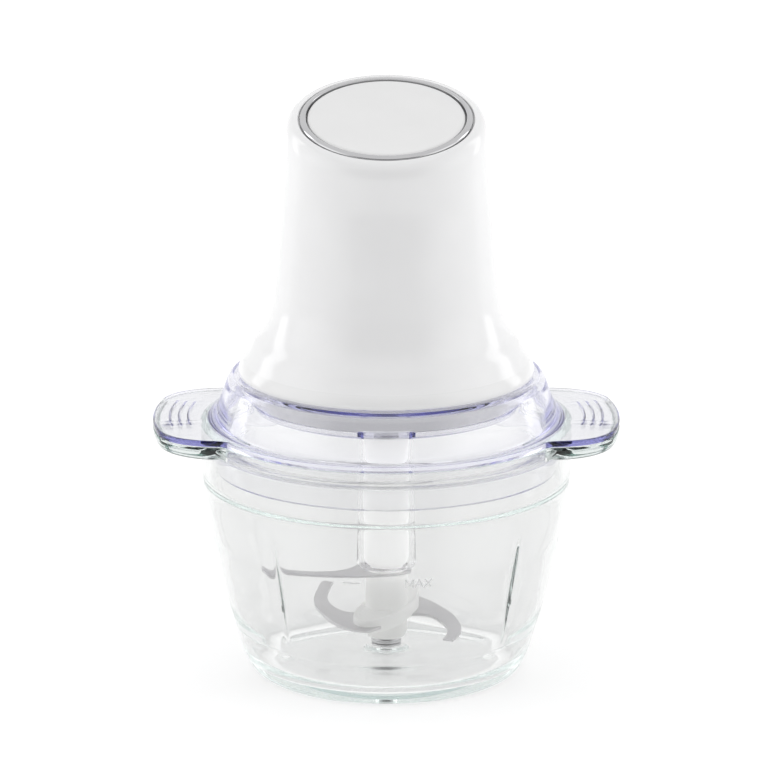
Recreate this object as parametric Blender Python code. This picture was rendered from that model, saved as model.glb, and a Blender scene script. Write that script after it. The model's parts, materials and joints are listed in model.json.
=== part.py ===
"""Mini food processor: glass bowl, clear lid, blade unit and a press-down motor unit.

The origin is the centre of the bowl's foot, +Z is up, the front faces -Y and the grips
lie along X. Sizes below are in millimetres; meshes are scaled to metres when finished.
"""
import math

import bmesh
import bpy
from mathutils import Matrix, Vector

MM = 0.001
GAP = 0.3

# Outline shared by the bowl's rim and the lid's flange.
RIM_R = 80.0
EAR_CENTRE_X, EAR_REACH, EAR_HALF_DEPTH, EAR_POWER = 62.0, 38.0, 42.0, 3.0

# Bowl
BOWL_HEIGHT = 109.3
BOWL_WALL_R = 79.4
BOWL_EAR_BOTTOM = 103.5
FLOOR_Z = 6.5
BOSS_R, BOSS_TOP = 9.0, 8.7
RIB_DEPTH = 2.6
RIB_ANGLE = 49.7
RIB_HALF_WIDTH = 4.5

# Lid
FLANGE_BOTTOM, FLANGE_TOP = BOWL_HEIGHT + GAP, 112.3
LID_TOP = 131.4
RECESS_R, RECESS_FLOOR = 57.0, 119.5
KEY_R, KEY_HALF_ANGLE = 52.4, 11.0
LID_HOLE_R = 12.6

# Motor unit
TOP_Z = 242.0
TOP_TILT = math.radians(15.5)
HOUSING_BOTTOM = 137.7
WALL = 2.4
BUTTON_R, BUTTON_HOLE_R = 33.4, 33.9
CHROME_IN_R, CHROME_OUT_R = 34.1, 36.95
SCREW_CIRCLE_R = 46.0
SCREW_ANGLES = (30, 150, 270)
GLAND_Z = 185.0
CASING_STATIONS = 40

# Motor
SHAFT_R = 3.0
CORE_LOW, CORE_HIGH = 167.7, 193.7
STATOR_HALF_X, STATOR_HALF_Y = 30.0, 31.0
POLE_R, ARMATURE_R = 15.9, 15.3
ARMATURE_SLOTS = 12
BRUSH_Z = 204.4

# Planetary gearbox
MODULE = 1.0
SUN_TEETH, PLANET_TEETH, RING_TEETH = 10, 17, 44
PLANET_ORBIT_R = MODULE * (SUN_TEETH + PLANET_TEETH) / 2
PLANET_ANGLES = (0, 120, 240)
PIN_R = 2.0
GEAR_LOW, GEAR_HIGH = 136.0, 143.0

# Drive and blade unit
OUTPUT_R, HEX_HALF_FLATS = 5.2, 4.2
PIVOT_R, BUSH_R = 3.0, 6.45
HUB_R, HUB_NECK_R = 9.15, 7.4
HUB_BOTTOM, HUB_TOP, SOCKET_FLOOR = 14.3, 112.6, 97.4
SLEEVE_R, SLEEVE_TOP_R, SLEEVE_WALL, SLEEVE_TOP = 12.7, 11.5, 1.2, 108.0
LOWER_BLADE_Z, UPPER_BLADE_Z, BLADE_THICKNESS = 22.9, 43.9, 1.2
SEAT_ANGLE = math.radians(58)
SEAT_HALF_LENGTH, SEAT_HALF_WIDTH = 20.5, 9.4

# Switch under the button: the lever over it turns about a line along Y through its pivot.
SWITCH_Y = 2.6
LEVER_PIVOT = Vector((-9.0, SWITCH_Y, 228.8))
LEVER_SLOPE = math.radians(17)


def on_circle(radius, degrees):
    angle = math.radians(degrees)
    return Vector((radius * math.cos(angle), radius * math.sin(angle), 0.0))


BODY_FRAMES = {
    "bowl_body": Matrix(),
    "lid_body": Matrix(),
    "motor_unit_body": Matrix(),
    "button_body": Matrix.Translation((0, 0, TOP_Z)) @ Matrix.Rotation(TOP_TILT, 4, "X"),
    "lever_body": Matrix.Translation(LEVER_PIVOT),
    "rotor_body": Matrix(),
    "carrier_body": Matrix(),
    "planet_1_body": Matrix.Translation(on_circle(PLANET_ORBIT_R, PLANET_ANGLES[0])),
    "planet_2_body": Matrix.Translation(on_circle(PLANET_ORBIT_R, PLANET_ANGLES[1])),
    "planet_3_body": Matrix.Translation(on_circle(PLANET_ORBIT_R, PLANET_ANGLES[2])),
    "blade_body": Matrix(),
}

MATERIALS = {
    "bowl_glass": ((0.86, 0.94, 0.92), 0.02, 0.0),
    "lid_plastic": ((0.80, 0.80, 0.93), 0.05, 0.0),
    "housing_plastic": ((0.87, 0.87, 0.88), 0.16, 0.0),
    "button_plastic": ((0.84, 0.84, 0.84), 0.35, 0.0),
    "hub_plastic": ((0.90, 0.90, 0.87), 0.40, 0.0),
    "sleeve_plastic": ((0.86, 0.86, 0.87), 0.30, 0.0),
    "inner_plastic": ((0.13, 0.13, 0.14), 0.50, 0.0),
    "gear_plastic": ((0.86, 0.82, 0.70), 0.45, 0.0),
    "seal_rubber": ((0.88, 0.89, 0.89), 0.60, 0.0),
    "black_rubber": ((0.03, 0.03, 0.03), 0.70, 0.0),
    "chrome": ((0.80, 0.80, 0.82), 0.06, 1.0),
    "blade_steel": ((0.55, 0.54, 0.55), 0.28, 1.0),
    "pin_steel": ((0.66, 0.66, 0.66), 0.18, 1.0),
    "core_steel": ((0.33, 0.33, 0.35), 0.45, 1.0),
    "copper": ((0.78, 0.36, 0.18), 0.35, 1.0),
    "brass": ((0.78, 0.62, 0.32), 0.30, 1.0),
    "carbon": ((0.04, 0.04, 0.045), 0.75, 0.0),
}


# Scene helpers

def clear_scene():
    for obj in list(bpy.data.objects):
        bpy.data.objects.remove(obj, do_unlink=True)


def make_materials():
    for name, (colour, roughness, metallic) in MATERIALS.items():
        made = bpy.data.materials.new(name)
        made.use_nodes = True
        shader = made.node_tree.nodes["Principled BSDF"]
        shader.inputs["Base Color"].default_value = (*colour, 1.0)
        shader.inputs["Roughness"].default_value = roughness
        shader.inputs["Metallic"].default_value = metallic
        made.diffuse_color = (*colour, 1.0)


def make_body_frames():
    for name, matrix in BODY_FRAMES.items():
        empty = bpy.data.objects.new(name, None)
        empty.location = matrix.to_translation() * MM
        empty.rotation_euler = matrix.to_euler()
        bpy.context.collection.objects.link(empty)


def link_object(name, mesh, material):
    """Scale a bmesh to metres and link it as an object with smooth round faces."""
    bmesh.ops.recalc_face_normals(mesh, faces=mesh.faces)
    bmesh.ops.scale(mesh, vec=(MM, MM, MM), verts=mesh.verts)
    data = bpy.data.meshes.new(name)
    mesh.to_mesh(data)
    mesh.free()
    data.shade_smooth()
    data.set_sharp_from_angle(angle=math.radians(35))
    if material:
        data.materials.append(bpy.data.materials[material])
    obj = bpy.data.objects.new(name, data)
    bpy.context.collection.objects.link(obj)
    return obj


def add_piece(name, mesh, material, body, in_body_frame=False):
    """Parent a finished mesh to its body's empty, whose axes it may already be drawn in."""
    if not in_body_frame:
        mesh.transform(BODY_FRAMES[body].inverted())
    obj = link_object(name, mesh, material)
    obj.parent = bpy.data.objects[body]
    return obj


def add_tool(name, mesh, body):
    obj = add_piece(name, mesh, None, body)
    obj.hide_render = True
    obj.display_type = "WIRE"
    return obj


def combine(target, tool, operation):
    modifier = target.modifiers.new(tool.name, "BOOLEAN")
    modifier.object = tool
    modifier.operation = operation
    modifier.solver = "EXACT"


# Shape helpers

def even_angles(count):
    return [2 * math.pi * i / count for i in range(count)]


def rim_angles():
    """Stations round the rim: close together over the ears, and at the ribs and keys."""
    near_rib = [RIB_ANGLE - RIB_HALF_WIDTH, RIB_ANGLE, RIB_ANGLE + RIB_HALF_WIDTH]
    first = [i * 5.6 for i in range(7)] + [39.5] + near_rib + [63.0, 72.0, 81.0]
    near_rib = [90 + angle for angle in near_rib]
    second = [90.0, 99.0, 108.0, 117.0, 126.0] + near_rib + [180 - 5.6 * i for i in range(6, 0, -1)]
    half = first + second
    return [math.radians(angle) for angle in half + [180 + angle for angle in half]]


def ring(radius, height, angles, tilt=0.0):
    """Circle centred on Z and tipped about X, front down; radius may be a function of angle."""
    points = []
    for angle in angles:
        reach = radius(angle) if callable(radius) else radius
        depth = reach * math.sin(angle)
        points.append(Vector((
            reach * math.cos(angle),
            depth * math.cos(tilt),
            height + depth * math.sin(tilt),
        )))
    return points


def loft(rings, closed=True):
    """Mesh skinned over rings of points; a ring of a single point is a pole."""
    mesh = bmesh.new()
    loops = [[mesh.verts.new(point) for point in points] for points in rings]
    pairs = list(zip(loops, loops[1:]))
    if closed:
        pairs.append((loops[-1], loops[0]))
    for low, high in pairs:
        count = max(len(low), len(high))
        for i in range(count):
            j = (i + 1) % count
            corners = (low[i % len(low)], low[j % len(low)],
                       high[j % len(high)], high[i % len(high)])
            mesh.faces.new(list(dict.fromkeys(corners)))
    for end in (loops[0], loops[-1]):
        if not closed and len(end) > 2:
            mesh.faces.new(end)
    return mesh


def turned(profile, count, closed=True):
    """Mesh turned about Z from (radius, height) points; radius 0 makes a pole."""
    angles = even_angles(count)
    rings = [ring(r, z, angles) if r else [Vector((0, 0, z))] for r, z in profile]
    return loft(rings, closed)


def circle(radius, count, centre=(0.0, 0.0)):
    return [(centre[0] + radius * math.cos(a), centre[1] + radius * math.sin(a))
            for a in even_angles(count)]


def plate(outlines, low, high):
    """Flat plate between two heights: the first outline is its edge, the others are holes."""
    mesh = bmesh.new()
    for height in (low, high):
        edges = []
        for outline in outlines:
            verts = [mesh.verts.new((x, y, height)) for x, y in outline]
            edges += [mesh.edges.new((a, b)) for a, b in zip(verts, verts[1:] + verts[:1])]
        bmesh.ops.triangle_fill(mesh, edges=edges, use_beauty=True)
    mesh.verts.ensure_lookup_table()
    half = len(mesh.verts) // 2
    start = 0
    for outline in outlines:
        count = len(outline)
        for i in range(count):
            a, b = start + i, start + (i + 1) % count
            mesh.faces.new([mesh.verts[k] for k in (a, b, b + half, a + half)])
        start += count
    return mesh


def cell_solid(radii, degrees, heights, filled):
    """Solid of the filled cells of a polar grid; filled takes radius, angle, height numbers."""
    mesh = bmesh.new()
    full = abs(degrees[-1] - degrees[0] - 360) < 1e-6
    sectors = len(degrees) - 1
    found = {}

    def corner(i, j, k):
        key = (i, j % sectors if full else j, k)
        if key not in found:
            angle = math.radians(degrees[key[1]])
            spot = (radii[i] * math.cos(angle), radii[i] * math.sin(angle), heights[k])
            found[key] = mesh.verts.new(spot)
        return found[key]

    def solid(i, j, k):
        if not (0 <= i < len(radii) - 1 and 0 <= k < len(heights) - 1):
            return False
        if not full and not 0 <= j < sectors:
            return False
        return filled(i, j % sectors, k)

    sides = {
        (-1, 0, 0): ((0, 0, 0), (0, 1, 0), (0, 1, 1), (0, 0, 1)),
        (1, 0, 0): ((1, 0, 0), (1, 1, 0), (1, 1, 1), (1, 0, 1)),
        (0, -1, 0): ((0, 0, 0), (1, 0, 0), (1, 0, 1), (0, 0, 1)),
        (0, 1, 0): ((0, 1, 0), (1, 1, 0), (1, 1, 1), (0, 1, 1)),
        (0, 0, -1): ((0, 0, 0), (1, 0, 0), (1, 1, 0), (0, 1, 0)),
        (0, 0, 1): ((0, 0, 1), (1, 0, 1), (1, 1, 1), (0, 1, 1)),
    }
    for i in range(len(radii) - 1):
        for j in range(sectors):
            for k in range(len(heights) - 1):
                if not solid(i, j, k):
                    continue
                for (di, dj, dk), corners in sides.items():
                    if not solid(i + di, j + dj, k + dk):
                        mesh.faces.new([corner(i + a, j + b, k + c) for a, b, c in corners])
    return mesh


def block(size, centre, chamfer=0.4):
    mesh = bmesh.new()
    bmesh.ops.create_cube(mesh, size=1, matrix=Matrix.Translation(centre) @ Matrix.Diagonal((*size, 1)))
    bmesh.ops.bevel(mesh, geom=mesh.edges, offset=chamfer, segments=1, affect="EDGES")
    return mesh


def gear_outline(teeth, internal=False, phase=0.0):
    """Straight-flanked teeth, the first centred on phase; internal teeth point inwards."""
    pitch_r = MODULE * teeth / 2
    inward = -1 if internal else 1
    root = pitch_r - inward * 0.75 * MODULE
    tip = pitch_r + inward * 0.55 * MODULE
    pitch = 2 * math.pi / teeth
    points = []
    for tooth in range(teeth):
        for radius, share in ((root, -0.29), (tip, -0.12), (tip, 0.12), (root, 0.29)):
            angle = phase + (tooth + share) * pitch
            points.append((radius * math.cos(angle), radius * math.sin(angle)))
    return points


# Outlines of the rim and its ears

def ear_radius(angle):
    """Distance from the Z axis to the ear's rounded outline, along a ray, or 0 off the ear."""
    across, along = abs(math.sin(angle)), abs(math.cos(angle))
    low, high = EAR_CENTRE_X / max(along, 1e-6), EAR_CENTRE_X + EAR_REACH
    if low * across > EAR_HALF_DEPTH:
        return 0.0
    for _ in range(40):
        middle = (low + high) / 2
        x = (middle * along - EAR_CENTRE_X) / EAR_REACH
        y = middle * across / EAR_HALF_DEPTH
        if max(x, 0) ** EAR_POWER + y ** EAR_POWER < 1:
            low = middle
        else:
            high = middle
    return low


def rim_outline(inset):
    return lambda angle: max(RIM_R, ear_radius(angle)) - inset


def key_outline(radius, clearance):
    """Circle of the lid's recess, drawn in at the front and rear where its keys stand."""
    def reach(angle):
        off_key = abs(abs(math.degrees(math.remainder(angle, 2 * math.pi))) - 90)
        return (KEY_R if off_key < KEY_HALF_ANGLE else radius) - clearance
    return reach


def ribbed(radius):
    """Circle drawn in at the crests of the bowl's four upright ribs, a quarter turn apart."""
    def reach(angle):
        off_rib = abs(math.remainder(math.degrees(angle) - RIB_ANGLE, 90))
        return radius - (RIB_DEPTH if off_rib < 0.5 else 0)
    return reach


def hexagonal(half_flats):
    def reach(angle):
        off_flat = math.remainder(angle - math.pi / 6, math.pi / 3)
        return half_flats / math.cos(off_flat)
    return reach


def oval(half_length, half_width, turn):
    def reach(angle):
        c, s = math.cos(angle - turn) / half_length, math.sin(angle - turn) / half_width
        return 1 / math.hypot(c, s)
    return reach


# Bowl

def make_bowl():
    profile = [
        (46.0, 1.2), (47.5, 0.0), (54.5, 0.0), (59.2, 2.4), (62.2, 9.0), (68.1, 29.4),
        (74.1, 56.0), (78.9, 83.0), (BOWL_WALL_R, 92.0), (BOWL_WALL_R, 103.2),
        (rim_outline(0), BOWL_EAR_BOTTOM), (rim_outline(0), BOWL_HEIGHT), (76.0, BOWL_HEIGHT),
        (75.6, 88.0), (73.6, 84.5), (73.3, 80.0), (ribbed(72.4), 68.0), (ribbed(64.0), 28.0),
        (61.2, 21.0), (57.8, 9.6), (54.4, FLOOR_Z), (BOSS_R, FLOOR_Z), (BOSS_R, BOSS_TOP),
        (PIVOT_R + GAP, BOSS_TOP), (PIVOT_R + GAP, 3.4),
    ]
    angles = rim_angles()
    rings = [ring(r, z, angles) for r, z in profile]
    rings = [[Vector((0, 0, 1.2))]] + rings + [[Vector((0, 0, 3.4))]]
    add_piece("bowl", loft(rings, closed=False), "bowl_glass", "bowl_body")


def make_bowl_pin():
    profile = [
        (0, 3.8), (PIVOT_R, 3.8), (PIVOT_R, BOSS_TOP + GAP), (BUSH_R, BOSS_TOP + GAP),
        (BUSH_R, 10.5), (PIVOT_R, 10.5), (PIVOT_R, 29.4), (PIVOT_R - 0.9, 30.4), (0, 30.4),
    ]
    add_piece("bowl_pin", turned(profile, 16, closed=False), "pin_steel", "bowl_body")


# Lid

def make_lid():
    recess = key_outline(RECESS_R, 0)
    profile = [
        (LID_HOLE_R, 111.0), (LID_HOLE_R, RECESS_FLOOR), (recess, RECESS_FLOOR),
        (recess, LID_TOP), (64.3, LID_TOP), (67.3, 129.6), (68.9, 126.0), (71.4, 119.0),
        (75.9, FLANGE_TOP), (rim_outline(0), FLANGE_TOP), (rim_outline(0), FLANGE_BOTTOM),
        (73.8, FLANGE_BOTTOM), (73.8, 105.0), (72.4, 104.8), (72.4, 101.2), (73.8, 101.0),
        (73.6, 91.8), (71.6, 91.8), (71.4, 109.8), (66.2, 125.4), (64.4, 128.4), (59.6, 128.6),
        (59.4, 117.2), (14.9, 117.2), (14.8, 111.0),
    ]
    angles = rim_angles()
    add_piece("lid", loft([ring(r, z, angles) for r, z in profile]), "lid_plastic", "lid_body")


def make_lid_seal():
    profile = [(72.75, 101.6), (72.75, 104.4), (75.2, 103.9), (75.2, 103.1), (74.2, 102.0)]
    add_piece("lid_seal", turned(profile, 32), "seal_rubber", "lid_body")


# Motor unit's casing

def gathered(meshes):
    """One mesh holding all the given ones."""
    together = bmesh.new()
    for mesh in meshes:
        data = bpy.data.meshes.new("part_of_tool")
        mesh.to_mesh(data)
        mesh.free()
        together.from_mesh(data)
        bpy.data.meshes.remove(data)
    return together


def at_each_screw(profile):
    """The same turned shape at each of the three screws."""
    meshes = []
    for degrees in SCREW_ANGLES:
        mesh = turned(profile, 12, closed=False)
        mesh.transform(Matrix.Translation(on_circle(SCREW_CIRCLE_R, degrees)))
        meshes.append(mesh)
    return gathered(meshes)


def make_motor_housing():
    outside = [
        (61.4, HOUSING_BOTTOM, 0), (56.9, 145.0, 0), (53.4, 149.6, 0), (50.9, 154.6, 0),
        (49.0, 161.5, 0.3), (47.6, 172.0, 1.8), (45.3, 197.5, 7.8), (43.1, 222.0, 14),
        (42.5, 233.0, 15.5), (42.0, 238.0, 15.5), (40.3, 241.0, 15.5), (37.3, TOP_Z, 15.5),
    ]
    seat = [(37.3, -1.35), (BUTTON_HOLE_R, -1.35), (BUTTON_HOLE_R, -3.7), (39.3, -3.7)]
    inside = [(r - WALL, z, tilt) for r, z, tilt in reversed(outside[:9])]
    angles = even_angles(CASING_STATIONS)
    rings = [ring(r, z, angles, math.radians(tilt)) for r, z, tilt in outside]
    rings += [[BODY_FRAMES["button_body"] @ point for point in ring(r, h, angles)]
              for r, h in seat]
    rings += [ring(r, z, angles, math.radians(tilt)) for r, z, tilt in inside]
    housing = add_piece("motor_housing", loft(rings), "housing_plastic", "motor_unit_body")
    posts = at_each_screw([(0, 139.9), (4.0, 139.9), (4.0, 154.0), (0, 154.0)])
    holes = at_each_screw([(0, 139.0), (1.9, 139.0), (1.9, 151.0), (0, 151.0)])
    gland_hole = turned([(0, 40), (4.5, 40), (4.5, 52), (0, 52)], 20, closed=False)
    gland_hole.transform(Matrix.Translation((0, 0, GLAND_Z)) @ Matrix.Rotation(-math.pi / 2, 4, "X"))
    combine(housing, add_tool("screw_posts", posts, "motor_unit_body"), "UNION")
    cutter = add_tool("housing_holes", gathered([holes, gland_hole]), "motor_unit_body")
    combine(housing, cutter, "DIFFERENCE")


def make_base_cover():
    spigot = key_outline(RECESS_R, 0.45)
    profile = [
        (8.3, 120.2), (50.6, 120.2), (spigot, 121.2), (spigot, LID_TOP + GAP),
        (63.2, LID_TOP + GAP), (62.5, 135.6), (61.8, HOUSING_BOTTOM - GAP),
        (57.6, HOUSING_BOTTOM - GAP), (57.6, 139.2), (55.9, 139.2), (55.6, 134.2),
        (50.0, 133.6), (49.8, 122.7), (11.0, 122.7), (11.0, 130.0), (8.3, 130.0),
    ]
    angles = even_angles(CASING_STATIONS)
    cover = add_piece("base_cover", loft([ring(r, z, angles) for r, z in profile]),
                      "housing_plastic", "motor_unit_body")
    bosses = at_each_screw([(0, 121.4), (5.3, 121.4), (5.3, 139.5), (0, 139.5)])
    bores = at_each_screw([(0, 119.0), (4.0, 119.0), (4.0, 124.0), (2.0, 124.0), (2.0, 141.0),
                           (0, 141.0)])
    combine(cover, add_tool("screw_bosses", bosses, "motor_unit_body"), "UNION")
    combine(cover, add_tool("screw_bores", bores, "motor_unit_body"), "DIFFERENCE")


def make_housing_screws():
    profile = [(0, 120.6), (3.1, 120.6), (3.6, 121.2), (3.6, 123.4), (1.6, 123.4),
               (1.6, 149.2), (0, 150.2)]
    for number, degrees in enumerate(SCREW_ANGLES, 1):
        mesh = turned(profile, 12, closed=False)
        mesh.transform(Matrix.Translation(on_circle(SCREW_CIRCLE_R, degrees)))
        add_piece(f"housing_screw_{number}", mesh, "pin_steel", "motor_unit_body")


def make_chrome_ring():
    profile = [(CHROME_IN_R, -1.05), (CHROME_IN_R, 0.1), (34.8, 0.65), (36.1, 0.65),
               (CHROME_OUT_R, 0.1), (CHROME_OUT_R, -1.05)]
    mesh = turned(profile, 40)
    mesh.transform(BODY_FRAMES["button_body"])
    add_piece("chrome_ring", mesh, "chrome", "motor_unit_body")


def make_cord_gland():
    profile = [(2.6, 0), (2.6, 10.6), (6.4, 10.6), (6.8, 10.1), (6.8, 8.5), (4.1, 8.2),
               (4.1, 3.6), (5.6, 3.4), (5.6, 1.2), (4.4, 0)]
    mesh = turned(profile, 14)
    mesh.transform(Matrix.Translation((0, 39.2, GLAND_Z)) @ Matrix.Rotation(-math.pi / 2, 4, "X"))
    add_piece("cord_gland", mesh, "black_rubber", "motor_unit_body")


# Button and switch

def make_button():
    cap = [(0, -0.9), (28.0, -0.75), (32.6, -0.25), (BUTTON_R, -1.0), (BUTTON_R, -4.1),
           (35.4, -4.1), (35.4, -5.6), (31.4, -5.6), (31.4, -2.9), (0, -2.9)]
    add_piece("button_cap", turned(cap, 40, closed=False), "button_plastic", "button_body",
              in_body_frame=True)
    stem = [(0, -3.2), (5.0, -3.2), (5.0, -4.4), (3.6, -4.8), (3.4, -8.2), (1.5, -9.3),
            (0, -9.5)]
    add_piece("button_plunger", turned(stem, 12, closed=False), "inner_plastic", "button_body",
              in_body_frame=True)


def make_button_spring():
    """Vertical coil of round wire between the switch bracket and the button."""
    turns, per_turn, coil_r, wire_r, low, high = 4, 9, 14.0, 0.55, 220.7, 234.2
    steps = turns * per_turn
    rings = []
    for step in range(steps + 1):
        angle = 2 * math.pi * step / per_turn
        height = low + (high - low) * step / steps
        outwards = Vector((math.cos(angle), math.sin(angle), 0))
        middle = outwards * coil_r + Vector((0, 0, height))
        rings.append([middle + wire_r * (outwards * math.cos(a) + Vector((0, 0, math.sin(a))))
                      for a in even_angles(5)])
    add_piece("button_spring", loft(rings, closed=False), "pin_steel", "motor_unit_body")


def make_switch_parts():
    slots = [circle(38.2, 28), circle(3.0, 8, (24.0, 0.0)), circle(3.0, 8, (-24.0, 0.0))]
    add_piece("switch_bracket", plate(slots, 217.6, 219.6), "inner_plastic", "motor_unit_body")
    add_piece("micro_switch", block((20.0, 6.4, 7.8), (0, SWITCH_Y, 223.8)), "inner_plastic",
              "motor_unit_body")
    lever = block((17.0, 4.0, 0.4), (8.5, 0, 0.2), chamfer=0.1)
    lever.transform(Matrix.Rotation(-LEVER_SLOPE, 4, "Y"))
    add_piece("switch_lever", lever, "pin_steel", "lever_body", in_body_frame=True)


# Motor

def pole_outline():
    """Bore of the stator: two pole faces along X, and two deep slots along Y for the coils."""
    points = []
    for side in (0, 180):
        points += [(POLE_R, side + a) for a in range(-57, 58, 19)]
        points += [(24.6, side + a) for a in (60, 70, 80, 90, 100, 110, 120)]
    return [(r * math.cos(math.radians(a)), r * math.sin(math.radians(a))) for r, a in points]


def rounded_box_outline(half_x, half_y, power, count):
    points = []
    for angle in even_angles(count):
        c, s = math.cos(angle), math.sin(angle)
        reach = (abs(c / half_x) ** power + abs(s / half_y) ** power) ** (-1 / power)
        points.append((reach * c, reach * s))
    return points


def make_stator():
    outline = rounded_box_outline(STATOR_HALF_X, STATOR_HALF_Y, 5, 40)
    add_piece("stator_core", plate([outline, pole_outline()], CORE_LOW, CORE_HIGH),
              "core_steel", "motor_unit_body")
    for name, turn in (("field_coil_right", 0), ("field_coil_left", math.pi)):
        degrees = [-86, -62, -31, 0, 31, 62, 86]
        heights = [162.6, 167.1, 194.3, 198.8]
        coil = cell_solid([17.2, 23.6], degrees, heights,
                          lambda i, j, k: k != 1 or j in (0, 5))
        coil.transform(Matrix.Rotation(turn, 4, "Z"))
        add_piece(name, coil, "copper", "motor_unit_body")


def armature_outline():
    points = []
    for slot in range(ARMATURE_SLOTS):
        start = 360 / ARMATURE_SLOTS * slot
        points += [(ARMATURE_R, start - 9), (ARMATURE_R, start), (ARMATURE_R, start + 9),
                   (12.4, start + 9), (12.4, start + 21)]
    return [(r * math.cos(math.radians(a)), r * math.sin(math.radians(a))) for r, a in points]


def make_rotor():
    bore = circle(SHAFT_R + GAP, 12)
    add_piece("armature_core", plate([armature_outline(), bore], CORE_LOW, CORE_HIGH),
              "core_steel", "rotor_body")
    pitch = 360 / ARMATURE_SLOTS
    degrees = [pitch * i + part for i in range(ARMATURE_SLOTS) for part in (0, 10.8, 19.2)]
    heights = [162.8, 167.3, 194.1, 199.0]
    windings = cell_solid([12.8, 14.7], degrees + [360], heights,
                          lambda i, j, k: k != 1 or j % 3 == 1)
    add_piece("armature_windings", windings, "copper", "rotor_body")
    segments = ARMATURE_SLOTS * 2
    bars = [ring(9.0, 0, even_angles(segments)), ring(8.5, 0, even_angles(segments))]
    outline = [tuple(bars[i % 2][i])[:2] for i in range(segments)]
    add_piece("commutator", plate([outline, bore], 200.4, 208.6), "brass", "rotor_body")
    shaft = [(0, 136.0), (SHAFT_R - 0.4, 136.0), (SHAFT_R, 136.5), (SHAFT_R, 216.7),
             (SHAFT_R - 0.4, 217.2), (0, 217.2)]
    add_piece("motor_shaft", turned(shaft, 14, closed=False), "pin_steel", "rotor_body")
    vanes, vane_width = 6, 9
    spaces = [vane_width + i * (60 - vane_width) / 3 for i in range(3)]
    degrees = [60 * i + part for i in range(vanes) for part in [0] + spaces] + [360]
    fan = cell_solid([SHAFT_R + GAP, 8.0, 24.0], degrees, [155.2, 160.4, 161.9],
                     lambda i, j, k: k == 1 or i == 0 or j % 4 == 0)
    add_piece("cooling_fan", fan, "inner_plastic", "rotor_body")
    sun = plate([gear_outline(SUN_TEETH), bore], GEAR_LOW + 0.2, GEAR_HIGH + 1.0)
    add_piece("sun_pinion", sun, "pin_steel", "rotor_body")


def make_bearings():
    """Two stirrup brackets along Y, each with a bearing in its boss."""
    half_turn = [-102, -90, -78, -52, -26, 0, 26, 52]
    degrees = half_turn + [angle + 180 for angle in half_turn] + [258]
    on_arm = (0, 1, 8, 9)
    radii = [7.3, 9.6, 27.6, 30.6]
    lower = cell_solid(radii, degrees, [147.7, 149.7, 154.2, CORE_LOW - GAP],
                       lambda i, j, k: (k == 0 and (i == 0 or j in on_arm))
                       or (k == 1 and i == 0) or (k > 0 and i == 2 and j in on_arm))
    add_piece("lower_bearing_bracket", lower, "core_steel", "motor_unit_body")
    upper = cell_solid(radii, degrees, [CORE_HIGH + GAP, 209.6, 211.6, 216.4],
                       lambda i, j, k: (k == 1 and (i == 0 or j in on_arm))
                       or (k == 2 and i == 0) or (k == 0 and i == 2 and j in on_arm))
    add_piece("upper_bearing_bracket", upper, "core_steel", "motor_unit_body")
    for name, low in (("lower_bearing", 148.2), ("upper_bearing", 211.2)):
        mesh = plate([circle(7.0, 16), circle(SHAFT_R + GAP, 12)], low, low + 5)
        add_piece(name, mesh, "pin_steel", "motor_unit_body")
    damper = plate([circle(13.0, 16), circle(10.0, 16)], 211.9, 217.2)
    add_piece("motor_damper", damper, "black_rubber", "motor_unit_body")


def make_brushes():
    tube = [[(-4.2, -4.0), (4.2, -4.0), (4.2, 4.0), (-4.2, 4.0)],
            [(-2.8, -2.8), (2.8, -2.8), (2.8, 2.8), (-2.8, 2.8)]]
    for side, name in ((1, "right"), (-1, "left")):
        holder = plate(tube, 11.0, 24.0)
        outwards = Matrix.Rotation(side * math.pi / 2, 4, "Y")
        holder.transform(Matrix.Translation((0, 0, BRUSH_Z)) @ outwards)
        add_piece(f"brush_holder_{name}", holder, "brass", "motor_unit_body")
        brush = block((9.5, 5.0, 5.0), (side * 14.2, 0, BRUSH_Z), chamfer=0.3)
        add_piece(f"carbon_brush_{name}", brush, "carbon", "motor_unit_body")


# Gearbox

def make_gearbox():
    cup = [(8.4, 130.4), (28.6, 130.4), (28.6, 146.0), (26.0, 146.0), (26.0, 132.4), (8.4, 132.4)]
    add_piece("gearbox_housing", turned(cup, 28), "inner_plastic", "motor_unit_body")
    lid_plate = plate([circle(28.6, 28), circle(6.2, 12)], 146.3, 147.4)
    add_piece("gearbox_cover", lid_plate, "inner_plastic", "motor_unit_body")
    pitch = 2 * math.pi / RING_TEETH
    teeth = gear_outline(RING_TEETH, internal=True, phase=pitch / 2)
    add_piece("ring_gear", plate([circle(25.6, 24), teeth], 135.8, 144.0), "gear_plastic",
              "motor_unit_body")
    for number, degrees in enumerate(PLANET_ANGLES, 1):
        turn = math.radians(degrees)
        past_sun_tooth = math.fmod(turn, 2 * math.pi / SUN_TEETH)
        phase = turn + past_sun_tooth * SUN_TEETH / PLANET_TEETH
        gear = plate([gear_outline(PLANET_TEETH, phase=phase), circle(PIN_R + GAP, 12)],
                     GEAR_LOW, GEAR_HIGH)
        add_piece(f"planet_gear_{number}", gear, "gear_plastic", f"planet_{number}_body",
                  in_body_frame=True)
        pin = turned([(0, 133.2), (PIN_R, 133.2), (PIN_R, 144.2), (0, 144.8)], 12, closed=False)
        pin.transform(Matrix.Translation(on_circle(PLANET_ORBIT_R, degrees)))
        add_piece(f"planet_pin_{number}", pin, "pin_steel", "carrier_body")


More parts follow.
